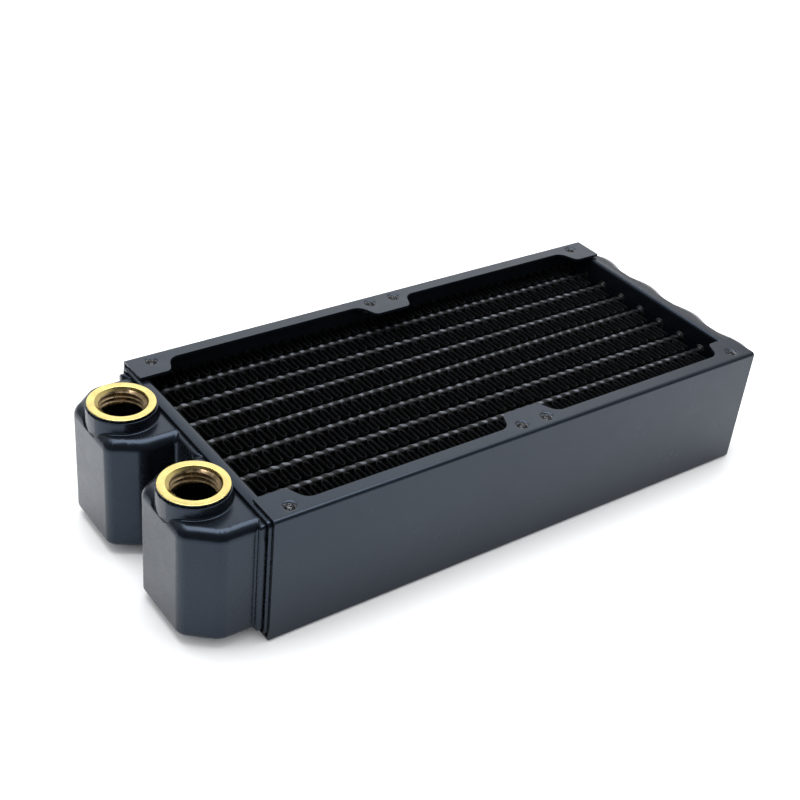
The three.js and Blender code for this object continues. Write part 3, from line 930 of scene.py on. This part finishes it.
def fin_skin(core):
    """One sheet folded to and fro: a wall, a rounded fold, the next wall, and so on."""
    bm = bmesh.new()
    radius, pace = core.crest_radius, core.fold_step
    middle = (FIN_LOW.y + FIN_HIGH.y) / 2
    centre = (FIN_HIGH.y - FIN_LOW.y - core.fin_sheet) / 2 - radius
    folds = round((FIN_HIGH.x - FIN_LOW.x) / pace)
    start_x = (FIN_LOW.x + FIN_HIGH.x) / 2 - folds * pace / 2
    lean = atan2(pace, 2 * centre) - asin(2 * radius / hypot(pace, 2 * centre))
    wall = (hypot(pace, 2 * centre) ** 2 - 4 * radius**2) ** 0.5
    levels = louvre_levels(core)
    heights = [FIN_LOW.z, *levels, FIN_HIGH.z]
    first = Vector((start_x + radius * cos(lean), middle - centre - radius * sin(lean)))
    column = [bm.verts.new((first.x, first.y, z)) for z in heights]
    edges = [bm.edges.new(pair) for pair in zip(column, column[1:])]
    for i in range(folds):
        up = 1 if i % 2 == 0 else -1
        along = Vector((sin(lean), up * cos(lean), 0)) * wall
        across = Vector((cos(lean), -up * sin(lean), 0))

        def lifted(co, step, sign):
            z_index = min(range(len(heights)), key=lambda k: abs(heights[k] - co.z))
            inside = 1 <= z_index <= len(heights) - 2
            crease = (1 if z_index % 2 else -1) if inside else 0
            return co + step + across * (crease * sign * core.louvre_lift)

        edges = grow(bm, edges, lambda co, _: lifted(co, along * CREASE_SHARE, 1))
        edges = grow(bm, edges, lambda co, _: co + along * (1 - 2 * CREASE_SHARE))
        edges = grow(bm, edges, lambda co, _: lifted(co, along * CREASE_SHARE, -1))
        if i < folds - 1:
            x = start_x + (i + 1) * pace
            turned = bmesh.ops.spin(
                bm,
                geom=[*edges, *{v for e in edges for v in e.verts}],
                cent=(x, middle + up * centre, 0),
                axis=(0, 0, 1),
                angle=-up * (pi - 2 * lean),
                steps=FOLD_STEPS,
            )["geom_last"]
            edges = edges_of(turned)
    weld(bm)
    return bm


class RADIATOR_OT_fin_strips(bpy.types.Operator):
    """Fold the nine louvred fin strips"""

    bl_idname = "radiator.fin_strips"
    bl_label = "Fin strips"

    def execute(self, context):
        core = context.scene.radiator_core
        paint = core_paint(context.scene.radiator_finish.core_colour)
        first = fin_skin(core)
        for node in FIN_STRIPS:
            bm = first.copy()
            low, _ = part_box(node)
            bmesh.ops.translate(bm, verts=bm.verts, vec=(0, low.y - FIN_LOW.y, 0))
            name = f"{node}_folded"
            finish_piece(name, bm, (paint,), node, sheet=core.fin_sheet, sheet_offset=0.0)
        first.free()
        return {"FINISHED"}


# ----- port tank -----

EDGE_STEPS = 6
CORNER_SEGMENTS = 6
NECK_SEGMENTS = 64
NECK_FOOT_STEPS = 5
NECK_MARGIN = 0.1 * MM
FOOT_MARGIN = 0.05 * MM
HOLE_RIM_WELD = 0.12 * MM
NECK_TOP_ROUND = 0.2 * MM
OVERLAP_BEHIND_MOUTH = 6 * MM


def tank_plan(tanks):
    """
    The port tank seen from above, with +X away from the frame: rim, two chambers, a valley.
    Each point's third value is the length that rounding takes off the sides beside it.
    """
    shoulder = HEADER_RIM + tanks.rim_standout
    body = RIM_HALF_WIDTH - tanks.shoulder_step
    chamfer = CHAMBER_FACE - tanks.chamfer_length
    face_in = PORT_Y - tanks.face_width / 2
    face_out = PORT_Y + tanks.face_width / 2
    valley = tanks.valley_width / 2
    inside = MOUTH - OVERLAP_BEHIND_MOUTH
    half = [
        (inside, RIM_HALF_WIDTH, 0),
        (shoulder, RIM_HALF_WIDTH, 0),
        (shoulder, body, tanks.shoulder_blend),
        (chamfer, body, tanks.upright_trim),
        (CHAMBER_FACE, face_out, tanks.upright_trim),
        (CHAMBER_FACE, face_in, tanks.upright_trim),
        (chamfer, valley, tanks.upright_trim),
        (shoulder, valley, tanks.valley_radius),
    ]
    return half[::-1] + [(x, -y, trim) for x, y, trim in half]


def edge_radius(tanks, x, chamber_radius):
    """The edge is tight along the rim and has the chamber's own radius beyond its shoulder."""
    shoulder = HEADER_RIM + tanks.rim_standout
    t = max(0.0, min(1.0, (x - shoulder) / tanks.shoulder_blend))
    return tanks.rim_radius + t * (chamber_radius - tanks.rim_radius)


def plan_face(bm, plan):
    """
    The plan as a face with rounded corners. Each vertex keeps the sharp corner it came from, and
    how that corner moves as the outline goes in by one unit. The third value of that move is how
    fast the rounding shrinks.
    """
    corner = bm.verts.layers.float_vector.new("corner")
    inward = bm.verts.layers.float_vector.new("inward")
    outline = list(face_from(bm, [(x, y, MIDDLE_Z) for x, y, _ in plan]).verts)
    rounded = {}
    for i, (v, (_, _, trim)) in enumerate(zip(outline, plan)):
        before = (v.co - outline[i - 1].co).to_2d().normalized()
        after = (outline[(i + 1) % len(outline)].co - v.co).to_2d().normalized()
        spread = 1 + before.dot(after)
        move = (before.orthogonal() + after.orthogonal()) / spread
        v[corner] = v.co
        v[inward] = (move.x, move.y, before.cross(after) / spread / trim if trim else 0)
        rounded.setdefault(trim, []).append(v)
    for trim, vertices in rounded.items():
        if trim:
            round_corners(bm, vertices, trim, CORNER_SEGMENTS)
    here = bm.verts.layers.float_vector.new("outline")
    for v in bm.verts:
        v[here] = v.co


def close_end(bm, tanks, loop, end, chamber_radius):
    """Runs the wall up or down from loop, rounds it over and closes it with a flat end."""
    corner = bm.verts.layers.float_vector["corner"]
    inward = bm.verts.layers.float_vector["inward"]
    outline = bm.verts.layers.float_vector["outline"]
    side = 1 if end > MIDDLE_Z else -1
    for angle in quarter_turn(EDGE_STEPS, first=0):

        def place(_, v, angle=angle):
            start, sharp, move = Vector(v[outline]), Vector(v[corner]), Vector(v[inward])
            radius = edge_radius(tanks, start.x, chamber_radius)
            step = radius * (1 - cos(angle))
            flat = sharp.to_2d() + move.to_2d() * step + (start - sharp).to_2d() * (1 - step * move.z)
            return Vector((flat.x, flat.y, end - side * radius * (1 - sin(angle))))

        loop = grow(bm, loop, place)
    bmesh.ops.edgeloop_fill(bm, edges=loop)


def neck_outline(tanks, neck_radius):
    """A neck's foot: angles and radii. It narrows where the chamber's face or the header is close."""
    front = CHAMBER_FACE - PORT_REACH
    back = PORT_REACH - HEADER_RIM
    outline = []
    for i in range(NECK_SEGMENTS):
        angle = 2 * pi * i / NECK_SEGMENTS
        room = (front if cos(angle) > 0 else back) / max(abs(cos(angle)), 1e-6)
        foot = min(tanks.neck_foot, room - neck_radius - FOOT_MARGIN)
        outline.append((angle, neck_radius + foot))
    return outline


def cut_hole(bm, centre, outline, floor_z):
    """Cuts an upright hole with a convex outline in the faces above floor_z, and returns its edges."""
    points = [Vector((centre[0] + r * cos(a), centre[1] + r * sin(a), 0)) for a, r in outline]
    reach = max(r for _, r in outline) + MM
    inside = [
        f
        for f in bm.faces
        if f.calc_center_median().z > floor_z or max(v.co.z for v in f.verts) > TANK_TOP - MERGE_DISTANCE
    ]
    for start, end in zip(points, points[1:] + points[:1]):
        along = end - start
        outward = Vector((along.y, -along.x, 0)).normalized()
        geometry = [*{v for f in inside for v in f.verts}, *{e for f in inside for e in f.edges}, *inside]
        cut = bmesh.ops.bisect_plane(
            bm, geom=geometry, dist=CUT_DISTANCE, plane_co=start, plane_no=outward
        )["geom"]
        inside = [f for f in faces_of(cut) if (f.calc_center_median() - start).dot(outward) < 0]
    bmesh.ops.delete(bm, geom=inside, context="FACES")
    middle = Vector((centre[0], centre[1]))

    def beside(v):
        return (v.co.to_2d() - middle).length < reach and v.co.z > floor_z

    rim = {v for e in open_edges(bm) for v in e.verts if beside(v)}
    bmesh.ops.remove_doubles(bm, verts=list(rim), dist=HOLE_RIM_WELD)
    return open_edges(bm, lambda e: all(beside(v) for v in e.verts))


def raise_neck(bm, tanks, centre, neck_radius):
    """A neck with a filleted foot, drawn up out of the chamber's top."""
    outline = neck_outline(tanks, neck_radius)
    loop = cut_hole(bm, centre, outline, TANK_TOP - 1.6 * tanks.chamber_radius)
    foot = bm.verts.layers.float.new("foot")
    middle = Vector(centre)
    for v in {v for e in loop for v in e.verts}:
        v[foot] = (v.co.to_2d() - middle).length - neck_radius
    angles = quarter_turn(NECK_FOOT_STEPS, first=0)
    for a, b in zip(angles, angles[1:]):

        def place(co, v, a=a, b=b):
            away = (co.to_2d() - middle).normalized()
            pull = v[foot] * (sin(b) - sin(a))
            return co - Vector((away.x, away.y, 0)) * pull + Vector((0, 0, v[foot] * (cos(a) - cos(b))))

        loop = grow(bm, loop, place)
    ring(bm, loop, centre, neck_radius, NECK_TOP)


def port_tank_skin(tanks):
    """The outer skin of the port tank, open at its mouth and at its necks."""
    bm = bmesh.new()
    plan_face(bm, tank_plan(tanks))
    drop_faces(bm, bm.faces[:])
    waist = bm.edges[:]
    close_end(bm, tanks, waist, TANK_TOP, tanks.chamber_radius)
    close_end(bm, tanks, waist, TANK_BOTTOM, tanks.chamber_foot_radius)
    recalculate(bm)
    neck_radius = CHAMBER_FACE - PORT_REACH - NECK_MARGIN
    for side in (-1, 1):
        raise_neck(bm, tanks, (PORT_REACH, side * PORT_Y), neck_radius)
    clip(bm, (MOUTH, 0, 0), (1, 0, 0), clear_inner=True)
    recalculate(bm)
    turn_out(bm, lambda centre: centre - Vector((MOUTH, 0, MIDDLE_Z)))
    return bm


def soften_neck_tops(bm):
    """A small round on both edges at the top of each neck."""
    rims = [e for e in bm.edges if all(abs(v.co.z - NECK_TOP) < MERGE_DISTANCE for v in e.verts)]
    rims = [e for e in rims if any(abs(f.normal.z) < 0.5 for f in e.link_faces)]
    bmesh.ops.bevel(
        bm,
        geom=rims,
        offset=NECK_TOP_ROUND,
        offset_type="OFFSET",
        segments=3,
        profile=0.5,
        affect="EDGES",
        material=-1,
    )


class RADIATOR_OT_port_tank(bpy.types.Operator):
    """Press the port tank, with its two chambers and necks"""

    bl_idname = "radiator.port_tank"
    bl_label = "Port tank"

    def execute(self, context):
        tanks = context.scene.radiator_tank
        finish = context.scene.radiator_finish
        paint = tank_paint(finish)
        bm = port_tank_skin(tanks)
        bmesh.ops.solidify(bm, geom=bm.faces[:], thickness=tanks.wall)
        bm.normal_update()
        soften_neck_tops(bm)
        to_end(bm, -1)
        finish_piece("port_tank_pressed", bm, (paint,), "port_tank")
        return {"FINISHED"}


class RADIATOR_OT_flow_divider(bpy.types.Operator):
    """Finish the plate that parts the two chambers. Its CAD shape is kept"""

    bl_idname = "radiator.flow_divider"
    bl_label = "Flow divider"

    def execute(self, context):
        brass = turned_brass(context.scene.radiator_finish.brass_colour, rings=False)
        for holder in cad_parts["flow_divider"].material_slots:
            holder.material = brass
        return {"FINISHED"}


# ----- return tank -----

FLUTE_MARGIN = 0.8 * MM
FLUTE_BACK = 2 * MM
WALL_STEP = 3 * MM
RIM_STEPS = 4


def fluted_depth(tanks, y, drop):
    """How far the return tank's skin is from the middle of the frame, drop being its edge rounding."""
    middle = RETURN_FACE - tanks.flute_height
    pitch = 2 * (OUTER_Y - FLUTE_MARGIN) / tanks.flute_count
    base = middle - drop
    back = MOUTH - FLUTE_BACK
    wave = cos(2 * pi * y / pitch + (pi if tanks.flute_count % 2 == 0 else 0))
    return base + (base - back) / (middle - back) * tanks.flute_height * wave


def edge_profile(half, radius, wall_steps, arc_steps, flat_steps):
    """Places across a rounded-over face, each with how far the face has dropped there."""
    side = [(half, radius + (wall_steps - i) * WALL_STEP) for i in range(wall_steps)]
    for angle in quarter_turn(arc_steps, first=0):
        side.append((half - radius * (1 - cos(angle)), radius * (1 - sin(angle))))
    inner = half - radius
    flats = [(inner * (1 - 2 * i / flat_steps), 0.0) for i in range(1, flat_steps)]
    return side + flats + [(-place, drop) for place, drop in side[::-1]]


def return_tank_skin(tanks):
    """The outer skin of the return tank: a rim, and a fluted body that rises from its front."""
    bm = bmesh.new()
    body_half = RIM_HALF_WIDTH - tanks.shoulder_step
    half_height = (TANK_TOP - TANK_BOTTOM) / 2
    across = edge_profile(body_half, tanks.return_corner, 2, 8, 48)
    upright = edge_profile(half_height, tanks.return_radius, 1, 12, 6)
    bmesh.ops.create_grid(bm, x_segments=len(across) - 1, y_segments=len(upright) - 1, size=1)
    for v in bm.verts:
        column = round((v.co.x + 1) / 2 * (len(across) - 1))
        row = round((v.co.y + 1) / 2 * (len(upright) - 1))
        y, drop_side = across[column]
        z, drop_edge = upright[row]
        v.co = Vector((fluted_depth(tanks, y, drop_edge) - drop_side, y, MIDDLE_Z + z))
    shoulder = HEADER_RIM + tanks.rim_standout
    clip(bm, (shoulder, 0, 0), (1, 0, 0), clear_inner=True)
    weld(bm, 0.01 * MM)
    body_loop = open_edges(bm)
    radius, corner = tanks.return_rim_radius, tanks.rim_radius
    loop = rounded_frame(bm, MOUTH, RIM_HALF_WIDTH, TANK_BOTTOM, TANK_TOP, corner, RIM_STEPS)
    loop = grow(bm, loop, lambda co, _: Vector((shoulder - radius, co.y, co.z)))
    loop = bend_over(bm, loop, shoulder, 1, RIM_HALF_WIDTH, half_height, corner, radius, RIM_STEPS)
    bmesh.ops.triangle_fill(bm, use_beauty=True, edges=[*loop, *body_loop])
    turn_out(bm, lambda centre: centre - Vector((MOUTH, 0, MIDDLE_Z)))
    return bm


class RADIATOR_OT_return_tank(bpy.types.Operator):
    """Press the fluted return tank"""

    bl_idname = "radiator.return_tank"
    bl_label = "Return tank"

    def execute(self, context):
        tanks = context.scene.radiator_tank
        finish = context.scene.radiator_finish
        paint = tank_paint(finish)
        bm = return_tank_skin(tanks)
        to_end(bm, 1)
        finish_piece("return_tank_pressed", bm, (paint,), "return_tank", sheet=tanks.wall)
        return {"FINISHED"}


# ----- port bushes -----

TURN_STEPS = 64
RIM_EDGE = 0.08 * MM
MOUTH_MARGIN = 0.3 * MM
RELIEF_STEP = 0.1 * MM


def thread_skin(bm, ports, centre, low, high):
    """A true helical thread: one tooth wound round the bore, then cut level at both ends."""
    major = ports.thread_major / 2
    minor = major - ports.thread_depth
    pitch = ports.thread_pitch
    tooth = ((minor, 0.0), (minor, 0.15), (major, 0.5), (major, 0.65), (minor, 1.0))
    start = low - 1.5 * pitch
    turns = int((high - low) / pitch) + 4
    verts = [bm.verts.new((centre[0] + r, centre[1], start + t * pitch)) for r, t in tooth]
    edges = [bm.edges.new(pair) for pair in zip(verts, verts[1:])]
    bmesh.ops.spin(
        bm,
        geom=[*verts, *edges],
        cent=(centre[0], centre[1], 0),
        axis=(0, 0, 1),
        dvec=(0, 0, pitch / TURN_STEPS),
        angle=2 * pi * turns,
        steps=turns * TURN_STEPS,
    )
    weld(bm, 0.01 * MM)
    clip(bm, (0, 0, high), (0, 0, 1), clear_outer=True)
    clip(bm, (0, 0, low), (0, 0, -1), clear_outer=True)
    weld(bm, 0.02 * MM)


def bush_body(ports, centre):
    """A turned bush: thread, lead-in, flat rim with a bright chamfer, and a body inside the neck."""
    bm = bmesh.new()
    top_cut = BUSH_TOP - ports.lead_in
    low_cut = BUSH_TOP - ports.thread_length
    thread_skin(bm, ports, centre, low_cut, top_cut)
    for f in bm.faces:
        f.material_index = 2
    root = ports.thread_major / 2
    body, mouth, bore = root + ports.bush_wall, root + MOUTH_MARGIN, root + ports.relief
    chamfer, rim_low = ports.edge_chamfer, BUSH_TOP - ports.rim_thickness
    middle = (top_cut + low_cut) / 2
    upper = open_edges(bm, lambda e: e.verts[0].co.z > middle)
    lower = open_edges(bm, lambda e: e.verts[0].co.z <= middle)
    for radius, height, material in (
        (mouth - RIM_EDGE, BUSH_TOP - RIM_EDGE, 0),
        (mouth + RIM_EDGE, BUSH_TOP, 0),
        (BUSH_RIM_RADIUS - chamfer, BUSH_TOP, 0),
        (BUSH_RIM_RADIUS, BUSH_TOP - chamfer, 0),
        (BUSH_RIM_RADIUS, rim_low, 1),
        (body, rim_low, 1),
        (body, BUSH_BOTTOM + RIM_EDGE, 0),
        (body - RIM_EDGE, BUSH_BOTTOM, 0),
    ):
        upper = ring(bm, upper, centre, radius, height, material)
    # The bore below the thread takes the black paint: painted shade deep inside the port.
    for height in (low_cut - RELIEF_STEP, BUSH_BOTTOM):
        lower = ring(bm, lower, centre, bore, height, material=1)
    bmesh.ops.bridge_loops(bm, edges=[*upper, *lower])
    recalculate(bm)
    return bm


class RADIATOR_OT_port_bushes(bpy.types.Operator):
    """Turn the two threaded brass bushes"""

    bl_idname = "radiator.port_bushes"
    bl_label = "Port bushes"

    def execute(self, context):
        ports = context.scene.radiator_port
        finish = context.scene.radiator_finish
        brass = turned_brass(finish.brass_colour)
        thread = shaded_thread_brass(finish.thread_shade_colour)
        paint = tank_paint(finish)
        for node in ("port_bush_near", "port_bush_far"):
            low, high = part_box(node)
            bm = bush_body(ports, (PORT_X, (low.y + high.y) / 2))
            finish_piece(f"{node}_turned", bm, (brass, paint, thread), node)
        return {"FINISHED"}


# ----- stage -----


SKY_COLOUR = (0.96, 0.98, 1.0)
ROOM_BACK = (0.55, 0.68, 0.49)
FLOOR_HALF = 3
CAMERA_TURN = (radians(-38.74), radians(33.31), radians(6.25))
CAMERA_OFFSET = Vector((-11.65, 18.92, 398.65)) * MM
SENSOR_WIDTH = 36


def area_light(name, watts, size, place, target):
    data = bpy.data.lights.new(name, "AREA")
    data.shape = "RECTANGLE"
    data.size, data.size_y = size
    data.energy = watts
    light = bpy.data.objects.new(name, data)
    light.location = place
    light.rotation_euler = (Vector(target) - Vector(place)).to_track_quat("-Z", "Y").to_euler()
    bpy.context.scene.collection.objects.link(light)


def studio(stage):
    """A white room. Its front half is dim in what shines off the object, as with the lamps off there."""
    world = bpy.data.worlds.new("soft_sky")
    world.use_nodes = True
    tree = world.node_tree
    tree.nodes.clear()
    sky, dim = (tree.nodes.new("ShaderNodeBackground") for _ in range(2))
    sky.inputs["Color"].default_value = (*SKY_COLOUR, 1)
    sky.inputs["Strength"].default_value = stage.sky_strength
    place = tree.nodes.new("ShaderNodeTexCoord")
    facing = tree.nodes.new("ShaderNodeVectorMath")
    facing.operation = "DOT_PRODUCT"
    facing.inputs[1].default_value = ROOM_BACK
    fade = tree.nodes.new("ShaderNodeMapRange")
    fade.interpolation_type = "SMOOTHSTEP"
    limits = {"From Min": -0.1, "From Max": 0.8, "To Min": stage.front_dim, "To Max": 1.0}
    for name, value in limits.items():
        fade.inputs[name].default_value = value
    choice = tree.nodes.new("ShaderNodeMixShader")
    path = tree.nodes.new("ShaderNodeLightPath")
    output = tree.nodes.new("ShaderNodeOutputWorld")
    for start, out, end, into in (
        (place, "Generated", facing, 0),
        (facing, "Value", fade, "Value"),
        (fade, "Result", dim, "Strength"),
        (path, "Is Glossy Ray", choice, 0),
        (sky, "Background", choice, 1),
        (dim, "Background", choice, 2),
        (choice, "Shader", output, "Surface"),
    ):
        tree.links.new(start.outputs[out], end.inputs[into])
    return world


def camera_axes(azimuth, elevation, roll):
    back = Vector((sin(azimuth) * cos(elevation), -cos(azimuth) * cos(elevation), sin(elevation)))
    right = Vector((0, 0, 1)).cross(back).normalized()
    up = back.cross(right)
    right, up = cos(roll) * right + sin(roll) * up, cos(roll) * up - sin(roll) * right
    return right, up, back


class RADIATOR_OT_stage(bpy.types.Operator):
    """Set the floor, the soft light and the camera"""

    bl_idname = "radiator.stage"
    bl_label = "Stage"

    def execute(self, context):
        stage = context.scene.radiator_stage
        scene = context.scene
        bm = bmesh.new()
        bmesh.ops.create_grid(bm, x_segments=8, y_segments=8, size=FLOOR_HALF)
        mesh = bpy.data.meshes.new("floor")
        bm.to_mesh(mesh)
        bm.free()
        mesh.materials.append(floor_material(stage.floor_colour))
        floor = bpy.data.objects.new("floor", mesh)
        scene.collection.objects.link(floor)
        scene.world = studio(stage)
        area_light("top_softbox", stage.top_power, (0.9, 0.6), (0.05, 0.15, 0.9), (0, 0, 0))
        area_light("back_softbox", stage.back_power, (1.0, 0.5), (0.35, 0.75, 0.55), (0, 0, 0.02))
        right, up, back = camera_axes(*CAMERA_TURN)
        data = bpy.data.cameras.new("camera")
        data.lens = stage.lens / MM
        data.sensor_width = SENSOR_WIDTH
        data.clip_start = 0.01
        camera = bpy.data.objects.new("camera", data)
        offset = CAMERA_OFFSET
        spot = right * offset.x + up * offset.y + back * offset.z + Vector((MIDDLE_X, 0, 0))
        turn = Matrix((right, up, back)).transposed().to_4x4()
        camera.matrix_world = Matrix.Translation(spot) @ turn
        scene.collection.objects.link(camera)
        scene.camera = camera
        scene.view_settings.view_transform = "Standard"
        return {"FINISHED"}


# ----- add-on -----

OPERATORS = (
    RADIATOR_OT_side_panels,
    RADIATOR_OT_header_plates,
    RADIATOR_OT_tubes,
    RADIATOR_OT_fin_strips,
    RADIATOR_OT_port_tank,
    RADIATOR_OT_flow_divider,
    RADIATOR_OT_return_tank,
    RADIATOR_OT_port_bushes,
    RADIATOR_OT_stage,
)

SETTINGS = {
    "radiator_panel": RadiatorPanelSizes,
    "radiator_core": RadiatorCoreSizes,
    "radiator_tank": RadiatorTankSizes,
    "radiator_port": RadiatorPortSizes,
    "radiator_finish": RadiatorFinish,
    "radiator_stage": RadiatorStage,
}


class RADIATOR_PT_panel(bpy.types.Panel):
    """Sizes, finishes and the steps that build the radiator"""

    bl_idname = "RADIATOR_PT_panel"
    bl_label = "Liquid cooling radiator"
    bl_space_type = "VIEW_3D"
    bl_region_type = "UI"
    bl_category = "Radiator"

    def draw(self, context):
        for operator in OPERATORS:
            self.layout.operator(operator.bl_idname)
        for setting in SETTINGS:
            box = self.layout.box()
            group = getattr(context.scene, setting)
            for name in group.__annotations__:
                box.prop(group, name)


CLASSES = (*SETTINGS.values(), *OPERATORS, RADIATOR_PT_panel)


def register():
    for cls in CLASSES:
        bpy.utils.register_class(cls)
    for name, group in SETTINGS.items():
        setattr(bpy.types.Scene, name, PointerProperty(type=group))


def unregister():
    for name in SETTINGS:
        delattr(bpy.types.Scene, name)
    for cls in reversed(CLASSES):
        bpy.utils.unregister_class(cls)


def main():
    register()
    bpy.ops.radiator.side_panels()
    bpy.ops.radiator.header_plates()
    bpy.ops.radiator.tubes()
    bpy.ops.radiator.fin_strips()
    bpy.ops.radiator.port_tank()
    bpy.ops.radiator.flow_divider()
    bpy.ops.radiator.return_tank()
    bpy.ops.radiator.port_bushes()
    bpy.ops.radiator.stage()


if __name__ == "__main__":
    main()
